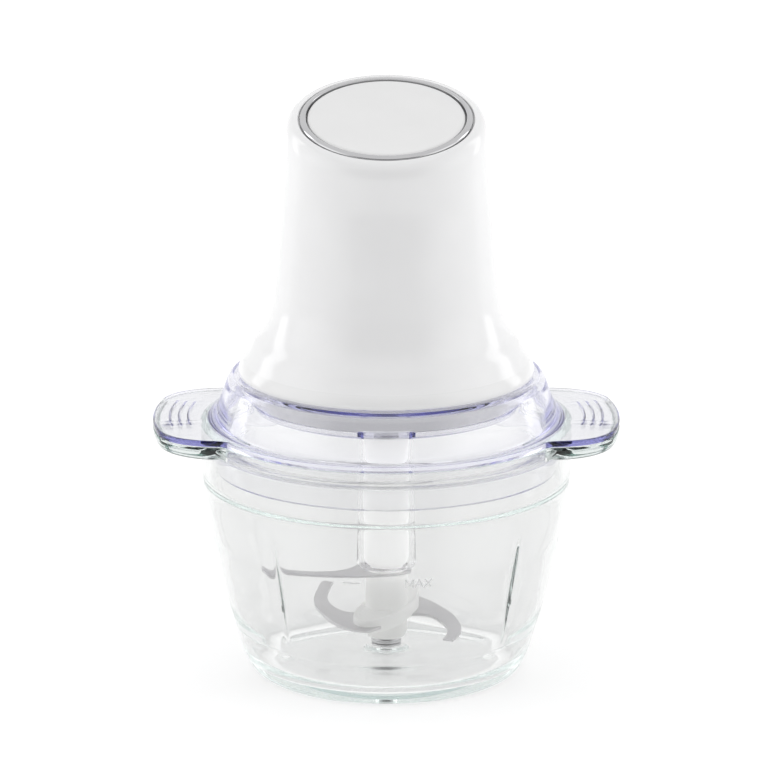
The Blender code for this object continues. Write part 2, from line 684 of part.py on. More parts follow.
def make_output():
    pin_holes = [circle(PIN_R + GAP, 12, on_circle(PLANET_ORBIT_R, a)) for a in PLANET_ANGLES]
    disc = plate([circle(17.5, 24), circle(OUTPUT_R + GAP, 16)] + pin_holes, 132.8, 135.4)
    add_piece("planet_carrier", disc, "core_steel", "carrier_body")
    angles = even_angles(24)
    hexagon, tip = hexagonal(HEX_HALF_FLATS), hexagonal(HEX_HALF_FLATS - 0.8)
    shaft = [ring(tip, 98.6, angles), ring(hexagon, 99.6, angles), ring(hexagon, 118.4, angles),
             ring(OUTPUT_R, 118.6, angles), ring(OUTPUT_R, 135.2, angles)]
    add_piece("output_shaft", loft(shaft, closed=False), "pin_steel", "carrier_body")
    bush = plate([circle(8.0, 16), circle(OUTPUT_R + GAP, 16)], 120.6, 129.8)
    add_piece("output_bearing", bush, "brass", "motor_unit_body")


# Blade unit

def make_hub():
    seat = oval(SEAT_HALF_LENGTH, SEAT_HALF_WIDTH, SEAT_ANGLE)
    small_seat = oval(SEAT_HALF_LENGTH - 1.4, SEAT_HALF_WIDTH - 0.2, SEAT_ANGLE)
    lower_neck = (LOWER_BLADE_Z - GAP, LOWER_BLADE_Z + BLADE_THICKNESS + GAP)
    upper_neck = (UPPER_BLADE_Z - GAP, UPPER_BLADE_Z + BLADE_THICKNESS + GAP)
    profile = [
        (8.1, HUB_BOTTOM), (8.9, 17.0), (HUB_R, lower_neck[0]), (HUB_NECK_R, lower_neck[0]),
        (HUB_NECK_R, lower_neck[1]), (seat, lower_neck[1]), (small_seat, 26.6), (HUB_R, 27.4),
        (HUB_R, upper_neck[0]), (HUB_NECK_R, upper_neck[0]), (HUB_NECK_R, upper_neck[1]),
        (HUB_R, upper_neck[1]), (HUB_R, HUB_TOP), (6.9, HUB_TOP), (6.9, SOCKET_FLOOR),
    ]
    angles = even_angles(24)
    rings = [ring(r, z, angles) for r, z in profile]
    rings.append([Vector((0, 0, SOCKET_FLOOR))])
    bore = [ring(5.9, HUB_BOTTOM, angles), ring(5.9, 35.0, angles), [Vector((0, 0, 35.0))]]
    add_piece("blade_hub", loft(list(reversed(bore)) + rings, closed=False), "hub_plastic",
              "blade_body")


def make_hub_sleeve():
    """Clear cover that stands on the upper blade round the hub's column."""
    low = UPPER_BLADE_Z + BLADE_THICKNESS + GAP
    profile = [
        (HUB_R + GAP, low), (SLEEVE_R - 0.8, low), (SLEEVE_R, low + 0.8),
        (SLEEVE_TOP_R, SLEEVE_TOP), (SLEEVE_TOP_R - SLEEVE_WALL, SLEEVE_TOP),
        (SLEEVE_R - SLEEVE_WALL, low + 1.4), (HUB_R + GAP, low + 1.4),
    ]
    add_piece("hub_sleeve", turned(profile, 24), "sleeve_plastic", "blade_body")


def make_hub_inserts():
    bush = [(0, 31.4), (PIVOT_R + GAP, 31.4), (PIVOT_R + GAP, 10.8), (BUSH_R, 10.8),
            (BUSH_R, 13.9), (5.5, 13.9), (5.5, 34.6), (0, 34.6)]
    add_piece("hub_bush", turned(bush, 24, closed=False), "pin_steel", "blade_body")
    angles = even_angles(24)
    hexagon = hexagonal(HEX_HALF_FLATS + GAP)
    socket = [ring(6.6, 97.8, angles), ring(6.6, 112.3, angles), ring(hexagon, 112.3, angles),
              ring(hexagon, 97.8, angles)]
    add_piece("drive_socket", loft(socket), "inner_plastic", "blade_body")


def curve_point(points, t):
    """Point at t of the Bezier curve with the given control points."""
    layer = [Vector(p) for p in points]
    while len(layer) > 1:
        layer = [a.lerp(b, t) for a, b in zip(layer, layer[1:])]
    return layer[0]


def arm_outline(leading, trailing, steps=7):
    """Points out along the leading edge's curve and back along the trailing edge's."""
    out = [curve_point(leading, i / steps) for i in range(steps + 1)]
    back = [curve_point(trailing, i / steps) for i in range(steps + 1)]
    return out + back[::-1]


def blade(name, outline, low):
    mesh = plate([[tuple(p) for p in outline], circle(HUB_NECK_R + GAP, 16)], low,
                 low + BLADE_THICKNESS)
    add_piece(name, mesh, "blade_steel", "blade_body")


def make_blades():
    """The lower blade has two sickle arms, each curling clockwise; the upper has one long arm."""
    outer = [(7.0, 24.5), (20.0, 27.0), (24.0, 6.0), (38.0, -14.0), (27.6, -41.0)]
    inner = [(10.2, -1.5), (20.0, 3.0), (26.5, -14.0), (27.0, -26.0), (23.6, -38.6)]
    arm = arm_outline(outer, inner)
    lower = arm + [-p for p in arm]
    blade("lower_blade", lower, LOWER_BLADE_Z)
    front = [(11.6, -5.0), (1.0, -14.0), (-20.0, -17.5), (-42.0, -14.0), (-53.2, -5.6)]
    rear = [(-9.8, 6.0), (-15.0, 0.0), (-21.0, -8.5), (-38.0, -9.0), (-53.4, -3.6)]
    upper = arm_outline(front, rear)
    upper += [Vector((0.0, 10.6)), Vector((8.4, 8.0)), Vector((11.4, 1.0))]
    blade("upper_blade", upper, UPPER_BLADE_Z)


def main():
    clear_scene()
    make_materials()
    make_body_frames()
    make_bowl()
    make_bowl_pin()
    make_lid()
    make_lid_seal()
    make_motor_housing()
    make_base_cover()
    make_housing_screws()
    make_chrome_ring()
    make_cord_gland()
    make_button()
    make_button_spring()
    make_switch_parts()
    make_stator()
    make_rotor()
    make_bearings()
    make_brushes()
    make_gearbox()
    make_output()
    make_hub()
    make_hub_sleeve()
    make_hub_inserts()
    make_blades()


main()
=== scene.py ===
"""Looks of the mini food processor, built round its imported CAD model.

Shapes are drawn in millimetres in the model's own frame (origin at the centre of the
bowl's foot, +Z up, front towards -Y, ears along X) and scaled to metres when made.
"""
import json
import math

import bmesh
import bpy
import numpy as np
from mathutils import Matrix, Vector


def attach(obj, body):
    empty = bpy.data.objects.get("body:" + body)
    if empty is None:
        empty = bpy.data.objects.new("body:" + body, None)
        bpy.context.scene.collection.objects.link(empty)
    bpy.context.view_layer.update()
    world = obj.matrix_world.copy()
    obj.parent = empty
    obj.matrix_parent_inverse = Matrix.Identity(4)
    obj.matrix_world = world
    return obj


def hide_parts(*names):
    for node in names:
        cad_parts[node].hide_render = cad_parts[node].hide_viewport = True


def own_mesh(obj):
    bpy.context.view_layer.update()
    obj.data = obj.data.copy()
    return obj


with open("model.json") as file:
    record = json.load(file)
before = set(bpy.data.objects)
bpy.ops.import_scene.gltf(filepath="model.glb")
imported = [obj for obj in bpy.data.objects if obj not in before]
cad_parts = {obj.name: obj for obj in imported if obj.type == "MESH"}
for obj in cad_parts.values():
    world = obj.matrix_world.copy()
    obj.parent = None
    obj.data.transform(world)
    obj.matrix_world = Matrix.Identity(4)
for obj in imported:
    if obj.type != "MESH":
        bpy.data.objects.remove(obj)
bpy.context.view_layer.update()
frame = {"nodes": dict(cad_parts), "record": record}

MM = 0.001
STATIONS = 360

# Outline shared by the bowl's rim and the lid's flange
RIM_R = 80.0
EAR_CENTRE_X, EAR_REACH, EAR_HALF_DEPTH, EAR_POWER = 62.0, 38.0, 42.0, 3.0
EAR_BLEND = 3.0

# Bowl: its rim's lower and upper faces, its floor, its upright ribs and its fill mark
RIM_LOW_Z, RIM_TOP_Z, UNDER_RIM_R = 103.5, 109.3, 79.7
FLOOR_Z, FLOOR_UNDERSIDE_Z = 6.5, 1.2
RIB_ANGLE, RIB_DEPTH, RIB_HALF_WIDTH, RIB_SHARPNESS = 49.7, 0.92, 7.8, 2.5
RIB_LOW, RIB_SHOULDER, RIB_TOP = 21.0, 69.5, 79.4
WALL_R, WALL_Z, WALL_SLOPE = 66.5, 24.0, 0.229
MARK_Z, MARK_WALL_R = 60.0, 74.0
MARK_SUNK, MARK_PROUD, STROKE_HALF_WIDTH, LETTER_HEIGHT = -0.15, 0.22, 0.28, 3.4

# Lid: its recess with two keys, its flange's faces and the ridges on its ears
RECESS_R, KEY_R, KEY_HALF_ANGLE, KEY_TOP = 57.0, 52.4, 11.0, 120.6
FLANGE_LOW_Z, FLANGE_TOP_Z, FLANGE_START_R = 109.6, 112.3, 77.2
RIDGE_SHARES = (0.35, 0.53, 0.71)
RIDGE_SECTION = ((-0.026, 0), (-0.017, 0.2), (-0.008, 0.42), (0, 0.5), (0.008, 0.42),
                 (0.017, 0.2), (0.026, 0))

# Motor unit: its slanted top, its rear inlet, its wall, and its lower band with three screws
TOP_Z, TOP_TILT = 242.0, math.radians(15.5)
TOP_FRAME = Matrix.Translation((0, 0, TOP_Z)) @ Matrix.Rotation(TOP_TILT, 4, "X")
GLAND_Y, GLAND_Z = 39.2, 185.0
CASING_WALL = 2.4
BAND_LOW_Z, SPIGOT_GAP = 120.2, 0.45
SCREW_CIRCLE_R, SCREW_ANGLES, BOSS_TOP_Z, BORE_TOP_Z = 46.0, (30, 150, 270), 139.5, 124.0

# Blade unit
LOWER_BLADE_Z, UPPER_BLADE_Z, BLADE_THICKNESS, HUB_NECK_R = 22.6, 43.9, 1.2, 7.4
SEAT_ANGLE, SEAT_HALF_LENGTH, SEAT_SLOPE = math.radians(58), 20.5, 0.11

# Camera
CAMERA_ELEVATION, CAMERA_DISTANCE = math.radians(15.8), 2100.0
CAMERA_TARGET = Vector((-1.0, 0.0, 125.6))
CAMERA_LENS = 230.0

# Texture, in features per metre and metres of height: fine grain, and waves in clear pieces
GRAIN_SCALE, WAVE_SCALE, WAVE_STRETCH, WAVE_HEIGHT = 900.0, 45.0, (1, 1, 0.35), 0.0004
# Painted glow: what is left of a rising painted glow at its foot
LOW_PAINTED_GLOW = (0.33, 0.33, 0.325)

# Strength of the studio's light: all round, added from the sides, lost from the front
ROOM_LIGHT, SIDE_EXTRA, FRONT_LOSS = 0.97, 0.55, 0.72
# The floor's glow, its share away from the object, and where the painted pool of light under the
# bowl fades, in metres
FLOOR_GLOW, OPEN_FLOOR_SHARE, FOOT_EDGE = 0.8, 0.7, (0.044, 0.056)


# Materials

class Nodes:
    """Short calls for adding nodes to one material or world."""

    def __init__(self, owner, fresh=True):
        owner.use_nodes = True
        self.tree = owner.node_tree
        if fresh:
            self.tree.nodes.clear()

    def add(self, kind, **values):
        node = self.tree.nodes.new(kind)
        for name, value in values.items():
            setattr(node, name, value)
        return node

    def link(self, source, target):
        self.tree.links.new(source, target)

    def math(self, operation, a, b=None):
        """Math node fed with numbers or sockets."""
        node = self.add("ShaderNodeMath", operation=operation)
        for socket, value in zip(node.inputs, (a, b)):
            if isinstance(value, (int, float)):
                socket.default_value = value
            elif value is not None:
                self.link(value, socket)
        return node.outputs[0]

    def noise(self, scale, detail, stretch=(1, 1, 1)):
        """Noise over the piece's own coordinates; scale is in features per metre."""
        where = self.add("ShaderNodeTexCoord").outputs["Object"]
        mapping = self.add("ShaderNodeMapping")
        mapping.inputs["Scale"].default_value = stretch
        self.link(where, mapping.inputs["Vector"])
        noise = self.add("ShaderNodeTexNoise")
        noise.inputs["Scale"].default_value = scale
        noise.inputs["Detail"].default_value = detail
        self.link(mapping.outputs[0], noise.inputs["Vector"])
        return noise.outputs["Fac"]

    def between(self, factor, low, high):
        """Spread the middle of a noise's range over low to high."""
        node = self.add("ShaderNodeMapRange")
        node.inputs["From Min"].default_value = 0.3
        node.inputs["From Max"].default_value = 0.7
        node.inputs["To Min"].default_value = low
        node.inputs["To Max"].default_value = high
        self.link(factor, node.inputs["Value"])
        return node.outputs[0]

    def ramp(self, value, low, high):
        """Smooth rise from 0 where value is low to 1 where it is high."""
        node = self.add("ShaderNodeMapRange", interpolation_type="SMOOTHSTEP")
        node.inputs["From Min"].default_value = low
        node.inputs["From Max"].default_value = high
        self.link(value, node.inputs["Value"])
        return node.outputs[0]

    def mix(self, factor, dark, light):
        node = self.add("ShaderNodeMix", data_type="RGBA")
        node.inputs[6].default_value = (*dark, 1)
        node.inputs[7].default_value = (*light, 1)
        self.link(factor, node.inputs[0])
        return node.outputs[2]

    def bump(self, height, strength, distance):
        node = self.add("ShaderNodeBump")
        node.inputs["Strength"].default_value = strength
        node.inputs["Distance"].default_value = distance
        self.link(height, node.inputs["Height"])
        return node.outputs[0]


def shaded(colour, share):
    return tuple(channel * share for channel in colour)


def solid(name, colour, roughness, metallic=0.0, variation=0.04, scale=60.0,
          rough_spread=0.04, bump=0.05, bump_depth=0.00005, stretch=(1, 1, 1), coat=0.0,
          glow=0.0, glow_rise=None):
    """Opaque material with slow colour variation, uneven gloss, fine grain and an optional painted
    glow.

    glow_rise gives two heights in metres between which the painted glow grows to its full strength.
    """
    made = bpy.data.materials.new(name)
    nodes = Nodes(made)
    shader = nodes.add("ShaderNodeBsdfPrincipled")
    slow = nodes.noise(scale, 2.0)
    fine = nodes.noise(GRAIN_SCALE, 3.0, stretch)
    nodes.link(nodes.mix(nodes.between(slow, 0, 1), shaded(colour, 1 - variation), colour),
               shader.inputs["Base Color"])
    nodes.link(nodes.between(fine, roughness - rough_spread / 2, roughness + rough_spread),
               shader.inputs["Roughness"])
    nodes.link(nodes.bump(fine, bump, bump_depth), shader.inputs["Normal"])
    shader.inputs["Metallic"].default_value = metallic
    shader.inputs["Coat Weight"].default_value = coat
    shader.inputs["Coat Roughness"].default_value = 0.08
    shader.inputs["Emission Color"].default_value = (1, 1, 1, 1)
    shader.inputs["Emission Strength"].default_value = glow
    if glow_rise:
        where = nodes.add("ShaderNodeSeparateXYZ")
        nodes.link(nodes.add("ShaderNodeTexCoord").outputs["Object"], where.inputs[0])
        height = nodes.ramp(where.outputs[2], *glow_rise)
        nodes.link(nodes.mix(height, LOW_PAINTED_GLOW, (1, 1, 1)), shader.inputs["Emission Color"])
    output = nodes.add("ShaderNodeOutputMaterial")
    nodes.link(shader.outputs[0], output.inputs["Surface"])
    return made


def clear(name, absorbed, density, ior=1.5, tint=(1, 1, 1), roughness=0.0, waviness=0.05):
    """Clear material: smooth, slightly wavy, and coloured by the depth looked through."""
    made = bpy.data.materials.new(name)
    nodes = Nodes(made)
    shader = nodes.add("ShaderNodeBsdfPrincipled")
    shader.inputs["Base Color"].default_value = (*tint, 1)
    shader.inputs["Transmission Weight"].default_value = 1.0
    shader.inputs["IOR"].default_value = ior
    wave = nodes.noise(WAVE_SCALE, 2.0, WAVE_STRETCH)
    nodes.link(nodes.between(wave, roughness, roughness + 0.03), shader.inputs["Roughness"])
    nodes.link(nodes.bump(wave, waviness, WAVE_HEIGHT), shader.inputs["Normal"])
    see_through = nodes.add("ShaderNodeBsdfTransparent")
    see_through.inputs["Color"].default_value = (0.99, 0.99, 0.99, 1)
    light_path = nodes.add("ShaderNodeLightPath")
    blend = nodes.add("ShaderNodeMixShader")
    nodes.link(light_path.outputs["Is Shadow Ray"], blend.inputs[0])
    nodes.link(shader.outputs[0], blend.inputs[1])
    nodes.link(see_through.outputs[0], blend.inputs[2])
    volume = nodes.add("ShaderNodeVolumeAbsorption")
    volume.inputs["Color"].default_value = (*absorbed, 1)
    volume.inputs["Density"].default_value = density
    output = nodes.add("ShaderNodeOutputMaterial")
    nodes.link(blend.outputs[0], output.inputs["Surface"])
    nodes.link(volume.outputs[0], output.inputs["Volume"])
    return made


def make_materials():
    white, steel = (0.84, 0.84, 0.845), (0.60, 0.60, 0.61)
    return {
        "bowl_glass": clear("bowl_glass", (0.30, 0.64, 0.55), 2.0, tint=(0.86, 0.861, 0.86),
                            waviness=0.015),
        "frosted_glass": clear("frosted_glass", (0.6, 0.8, 0.75), 2.0, tint=(0.95, 0.95, 0.95),
                               roughness=0.3),
        "lid_plastic": clear("lid_plastic", (0.20, 0.20, 0.70), 20.0, waviness=0.04,
                             tint=(0.985, 0.985, 0.975)),
        "sleeve_plastic": clear("sleeve_plastic", (0.6, 0.6, 0.66), 5.0, ior=1.46, waviness=0.04),
        "housing_plastic": solid("housing_plastic", white, 0.16, variation=0.015, coat=0.35,
                                 bump=0.03),
        # Painted light: the band under the casing is the casing's white made darker and given a
        # glow, which lifts the shade in its gap above the lid's collar
        "band_plastic_painted_glow": solid("band_plastic_painted_glow", shaded(white, 0.54), 0.16, variation=0.015, coat=0.35,
                              bump=0.03, glow=0.33),
        "button_plastic": solid("button_plastic", (0.79, 0.79, 0.79), 0.34, variation=0.02),
        # Painted light: the hub glows though it is no lamp, faintly at its foot and fully up the
        # column
        "hub_plastic": solid("hub_plastic", (0.86, 0.86, 0.845), 0.34, variation=0.03, glow=0.55,
                             glow_rise=(0.030, 0.056)),
        "inner_plastic": solid("inner_plastic", (0.035, 0.035, 0.04), 0.5, variation=0.3),
        "gear_plastic": solid("gear_plastic", (0.74, 0.69, 0.55), 0.42, variation=0.08),
        "seal_rubber": clear("seal_rubber", (0.5, 0.5, 0.55), 6.0, ior=1.41, roughness=0.14),
        "black_rubber": solid("black_rubber", (0.012, 0.012, 0.013), 0.6, variation=0.3, bump=0.3),
        "chrome": solid("chrome", (0.56, 0.56, 0.57), 0.06, metallic=1.0, variation=0.05,
                        rough_spread=0.02, bump=0.02),
        "blade_steel": solid("blade_steel", (0.73, 0.72, 0.73), 0.36, metallic=1.0,
                             variation=0.06, stretch=(0.12, 1, 1), bump=0.25, rough_spread=0.1),
        "pin_steel": solid("pin_steel", steel, 0.2, metallic=1.0, variation=0.1, bump=0.05),
        "core_steel": solid("core_steel", (0.27, 0.27, 0.29), 0.45, metallic=1.0, variation=0.2,
                            scale=200, stretch=(1, 1, 14), bump=0.6),
        "copper": solid("copper", (0.66, 0.27, 0.12), 0.35, metallic=1.0, variation=0.25,
                        scale=300, stretch=(1, 1, 6), bump=0.8, bump_depth=0.0002),
        "brass": solid("brass", (0.64, 0.46, 0.20), 0.3, metallic=1.0, variation=0.15),
        "carbon": solid("carbon", (0.02, 0.02, 0.022), 0.75, variation=0.3, bump=0.5),
    }


# Mesh helpers

def link_mesh(name, mesh, slot, body, replaced=(), sharp_angle=35, finish=None):
    """Scale a mesh to metres and give it its slot and body, and the CAD nodes it replaces.

    finish names its material where that is not the slot's own.
    """
    mesh.transform(Matrix.Scale(MM, 4))
    mesh.shade_smooth()
    mesh.set_sharp_from_angle(angle=math.radians(sharp_angle))
    mesh.materials.append(MATERIALS[finish or slot])
    obj = bpy.data.objects.new(name, mesh)
    bpy.context.scene.collection.objects.link(obj)
    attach(obj, body)
    if replaced:
        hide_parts(*replaced)
    return obj


def skin(name, rows, count, closed=True):
    """Mesh skinned over rows of (x, y, z) points; a row of one point is a pole."""
    points, starts = [], []
    for row in rows:
        starts.append(len(points))
        points += [tuple(point) for point in row]
    sizes = [len(row) for row in rows]
    faces = []
    pairs = list(zip(range(len(rows)), range(1, len(rows))))
    if closed:
        pairs.append((len(rows) - 1, 0))
    for low, high in pairs:
        for i in range(count):
            j = (i + 1) % count
            corners = [starts[low] + i % sizes[low], starts[low] + j % sizes[low],
                       starts[high] + j % sizes[high], starts[high] + i % sizes[high]]
            faces.append(list(dict.fromkeys(corners)))
    mesh = bpy.data.meshes.new(name)
    mesh.from_pydata(points, [], faces)
    work = bmesh.new()
    work.from_mesh(mesh)
    bmesh.ops.recalc_face_normals(work, faces=work.faces)
    work.to_mesh(mesh)
    work.free()
    return mesh


def angles_of(count):
    return np.arange(count) * 2 * math.pi / count


def round_row(radius, height, count, tilt=0.0):
    """One ring about Z, tipped about X with its front down; radius and height may be arrays."""
    angle = angles_of(count)
    radius = np.broadcast_to(radius, count)
    depth = radius * np.sin(angle)
    return np.stack([radius * np.cos(angle), depth * math.cos(tilt),
                     height + depth * math.sin(tilt)], axis=1)


def turned(name, profile, count=STATIONS, closed=True):
    """Mesh turned about Z from (radius, height) points, either of which may be an array."""
    rows = []
    for radius, height in profile:
        pole = np.isscalar(radius) and radius == 0
        rows.append([(0.0, 0.0, height)] if pole else round_row(radius, height, count))
    return skin(name, rows, count, closed)


def curved(points, step):
    """Smooth curve through the points, of any number of columns, with points about step apart."""
    points = np.array(points, float)
    gaps = np.linalg.norm(np.diff(points[:, :2], axis=0), axis=1)
    slopes = np.diff(points, axis=0) / gaps[:, None]
    tangents = [slopes[0]]
    for i in range(1, len(gaps)):
        share = gaps[i - 1] / (gaps[i - 1] + gaps[i])
        tangents.append(slopes[i - 1] * (1 - share) + slopes[i] * share)
    tangents.append(slopes[-1])
    made = [points[0]]
    for i, gap in enumerate(gaps):
        count = max(1, round(gap / step))
        for k in range(1, count + 1):
            t = k / count
            made.append(points[i] * (2 * t ** 3 - 3 * t ** 2 + 1)
                        + tangents[i] * gap * (t ** 3 - 2 * t ** 2 + t)
                        + points[i + 1] * (3 * t ** 2 - 2 * t ** 3)
                        + tangents[i + 1] * gap * (t ** 3 - t ** 2))
    return [tuple(point) for point in made]


def smooth_step(value, low, high):
    """Smooth rise from 0 at low to 1 at high."""
    t = np.clip((value - low) / (high - low), 0, 1)
    return t * t * (3 - 2 * t)


def off_axis(degrees, centre, period):
    """How far each angle is from the nearest of the directions that repeat every period."""
    return np.abs((degrees - centre + period / 2) % period - period / 2)


DEGREES = np.degrees(angles_of(STATIONS))


def ear_radius():
    """Distance from the Z axis to the ears' rounded outline along each station's ray."""
    angle = angles_of(STATIONS)
    across, along = np.abs(np.sin(angle)), np.maximum(np.abs(np.cos(angle)), 1e-6)
    low, high = EAR_CENTRE_X / along, np.full(STATIONS, EAR_CENTRE_X + EAR_REACH)
    on_ear = low * across <= EAR_HALF_DEPTH
    for _ in range(40):
        middle = (low + high) / 2
        x = np.maximum(middle * along - EAR_CENTRE_X, 0) / EAR_REACH
        inside = x ** EAR_POWER + (middle * across / EAR_HALF_DEPTH) ** EAR_POWER < 1
        low, high = np.where(inside, middle, low), np.where(inside, high, middle)
    return np.where(on_ear, low, 0)


def rim_outline():
    """Rim circle joined to the two ears by small fillets."""
    ear = ear_radius()
    near = np.clip(EAR_BLEND - np.abs(ear - RIM_R), 0, None)
    return np.maximum(ear, RIM_R) + near ** 2 / (4 * EAR_BLEND)


def rounded_corner(rim, height, rounding, rise):
    """Outer corner from the rim's side inwards; rise is 1 for an upper corner, -1 for a lower."""
    return [(rim - rounding * inwards, height - rise * rounding * down)
            for inwards, down in ((0, 1), (0.12, 0.5), (0.5, 0.12), (1, 0))]


def key_outline(radius, clearance=0.0):
    """Circle drawn in at the front and rear where the lid's keys stand, with soft corners."""
    off_key = off_axis(DEGREES, 90, 180)
    share = smooth_step(off_key, KEY_HALF_ANGLE - 0.9, KEY_HALF_ANGLE + 0.9)
    return KEY_R + (radius - KEY_R) * share - clearance


# Bowl

def rib_depth(radius, height):
    """How far the four upright ribs stand in from the bowl's inner wall at this height.

    A rib narrows towards its foot, and above its shoulder it rounds off and fades out.
    """
    if not RIB_LOW < height < RIB_TOP:
        return 0.0
    narrowing = (height - RIB_LOW) / (RIB_SHOULDER - RIB_LOW)
    half_width = RIB_HALF_WIDTH * min(1.0, narrowing) ** 0.75
    if height > RIB_SHOULDER:
        up = (height - RIB_SHOULDER) / (RIB_TOP - RIB_SHOULDER)
        half_width *= math.sqrt(1 - up * up)
    across = radius * np.radians(off_axis(DEGREES, RIB_ANGLE, 90)) / max(half_width, 0.05)
    crest = RIB_DEPTH * min(1.0, narrowing * 2.2) * smooth_step(RIB_TOP - height, 0, 14)
    return crest * np.clip(1 - np.hypot(across, 0.06) + 0.06, 0, None) ** RIB_SHARPNESS


def make_bowl():
    """Glass bowl: foot and outer wall, rim with its two ears, inner ledge, ribs and boss."""
    rim = rim_outline()
    overhang = np.clip((rim - RIM_R) / 3, 0, 1)
    rounding = 0.25 + 1.0 * overhang
    under = curved([(34.0, FLOOR_UNDERSIDE_Z), (38.0, 1.1), (43.0, 0.6), (46.5, 0.1),
                    (48.0, 0.0)], 1.5)
    foot = curved([(54.0, 0.0), (56.5, 0.6), (58.4, 1.9), (59.8, 3.9), (60.9, 6.5), (62.2, 9.5),
                   (64.6, 17.5), (66.5, 24.0), (68.1, 29.4), (71.2, 42.5), (74.1, 56.0),
                   (76.6, 69.0), (78.4, 80.0), (79.1, 87.0), (79.4, 92.0), (79.4, 102.6)], 2.5)
    belly = 0.25 + 4.2 * overhang
    edge = [(79.5, 103.0), (79.6, 103.35), (79.68, 103.48), (UNDER_RIM_R, RIM_LOW_Z)]
    edge += [(UNDER_RIM_R + (rim - belly - UNDER_RIM_R) * share, RIM_LOW_Z)
             for share in (0.03, 0.5, 0.96, 1.0)]
    edge += [(rim - belly * (1 - math.sin(t)), RIM_LOW_Z + (belly * 0.85) * (1 - math.cos(t)))
             for t in np.linspace(0, math.pi / 2, 9)[1:]]
    edge += rounded_corner(rim, RIM_TOP_Z, rounding, 1)
    edge += [(radius, RIM_TOP_Z) for radius in (rim - rounding - 0.1, 79.0, 77.0, 76.6)]
    edge += [(76.2, 109.1)]
    top = curved([(76.0, 108.6), (75.8, 98.0), (75.6, 88.4)], 3.0)
    ledge = curved([(75.5, 87.6), (75.1, 86.2), (74.4, 85.2), (73.8, 84.5), (73.5, 83.0),
                    (73.35, 80.0)], 0.7)
    wall = curved([(73.32, 79.6), (73.0, 74.0), (72.5, 69.0), (71.6, 62.5), (70.2, 56.0),
                   (67.4, 42.5), (64.1, 28.0), (61.4, 21.0)], 0.9)
    wall = [(r - rib_depth(r, z), z) for r, z in wall]
    floor = curved([(61.2, 20.6), (59.8, 14.0), (58.6, 10.6), (57.0, 8.4),
                    (54.8, FLOOR_Z)], 1.2)
    middle = [(radius, FLOOR_Z) for radius in (54.0, 38.0, 24.0, 11.6)]
    middle += [(9.9, 6.8), (9.2, 7.5), (9.0, 8.2), (8.4, 8.7), (4.2, 8.7), (3.4, 8.3),
               (3.3, 7.6), (3.3, 3.4), (0, 3.4)]
    profile = [(0, FLOOR_UNDERSIDE_Z), (20.0, FLOOR_UNDERSIDE_Z)] + under + foot + edge
    profile += top + ledge + wall + floor + middle
    mesh = turned("bowl_glass_body", profile, closed=False)
    link_mesh("bowl_glass_body", mesh, "bowl_glass", "bowl_body", ["bowl"], sharp_angle=28)


def wall_point(across, height, proud):
    """Point on the bowl's outer wall, across and height in mm from the front's middle line."""
    radius = WALL_R + (height - WALL_Z) * WALL_SLOPE + proud
    angle = across / MARK_WALL_R - math.pi / 2
    return Vector((radius * math.cos(angle), radius * math.sin(angle), height))


def make_level_mark():
    """Faint raised fill line on the bowl's front with the word MAX."""
    letters = {"M": [(0, 0, 0, 1), (0, 1, 0.45, 0.3), (0.45, 0.3, 0.9, 1), (0.9, 1, 0.9, 0)],
               "A": [(0, 0, 0.42, 1), (0.42, 1, 0.84, 0), (0.18, 0.35, 0.66, 0.35)],
               "X": [(0, 0, 0.8, 1), (0, 1, 0.8, 0)]}
    low = MARK_Z - LETTER_HEIGHT / 2
    strokes = [(start + x0 * LETTER_HEIGHT, low + y0 * LETTER_HEIGHT,
                start + x1 * LETTER_HEIGHT, low + y1 * LETTER_HEIGHT)
               for letter, start in zip("MAX", (8.0, 12.2, 16.0))
               for x0, y0, x1, y1 in letters[letter]]
    strokes += [(-18.0, MARK_Z, -11.0, MARK_Z)]
    work = bmesh.new()
    for x0, z0, x1, z1 in strokes:
        along = Vector((x1 - x0, z1 - z0)).normalized() * STROKE_HALF_WIDTH
        side = Vector((-along.y, along.x))
        corners = [Vector((x0, z0)) - along - side, Vector((x1, z1)) + along - side,
                   Vector((x1, z1)) + along + side, Vector((x0, z0)) - along + side]
        inner = [work.verts.new(wall_point(p.x, p.y, MARK_SUNK)) for p in corners]
        outer = [work.verts.new(wall_point(p.x, p.y, MARK_PROUD)) for p in corners]
        work.faces.new(inner[::-1])
        work.faces.new(outer)
        for i in range(4):
            j = (i + 1) % 4
            work.faces.new((inner[i], inner[j], outer[j], outer[i]))
    bmesh.ops.recalc_face_normals(work, faces=work.faces)
    mesh = bpy.data.meshes.new("level_mark")
    work.to_mesh(mesh)
    work.free()
    link_mesh("level_mark", mesh, "bowl_glass", "bowl_body", finish="frosted_glass")


# Lid

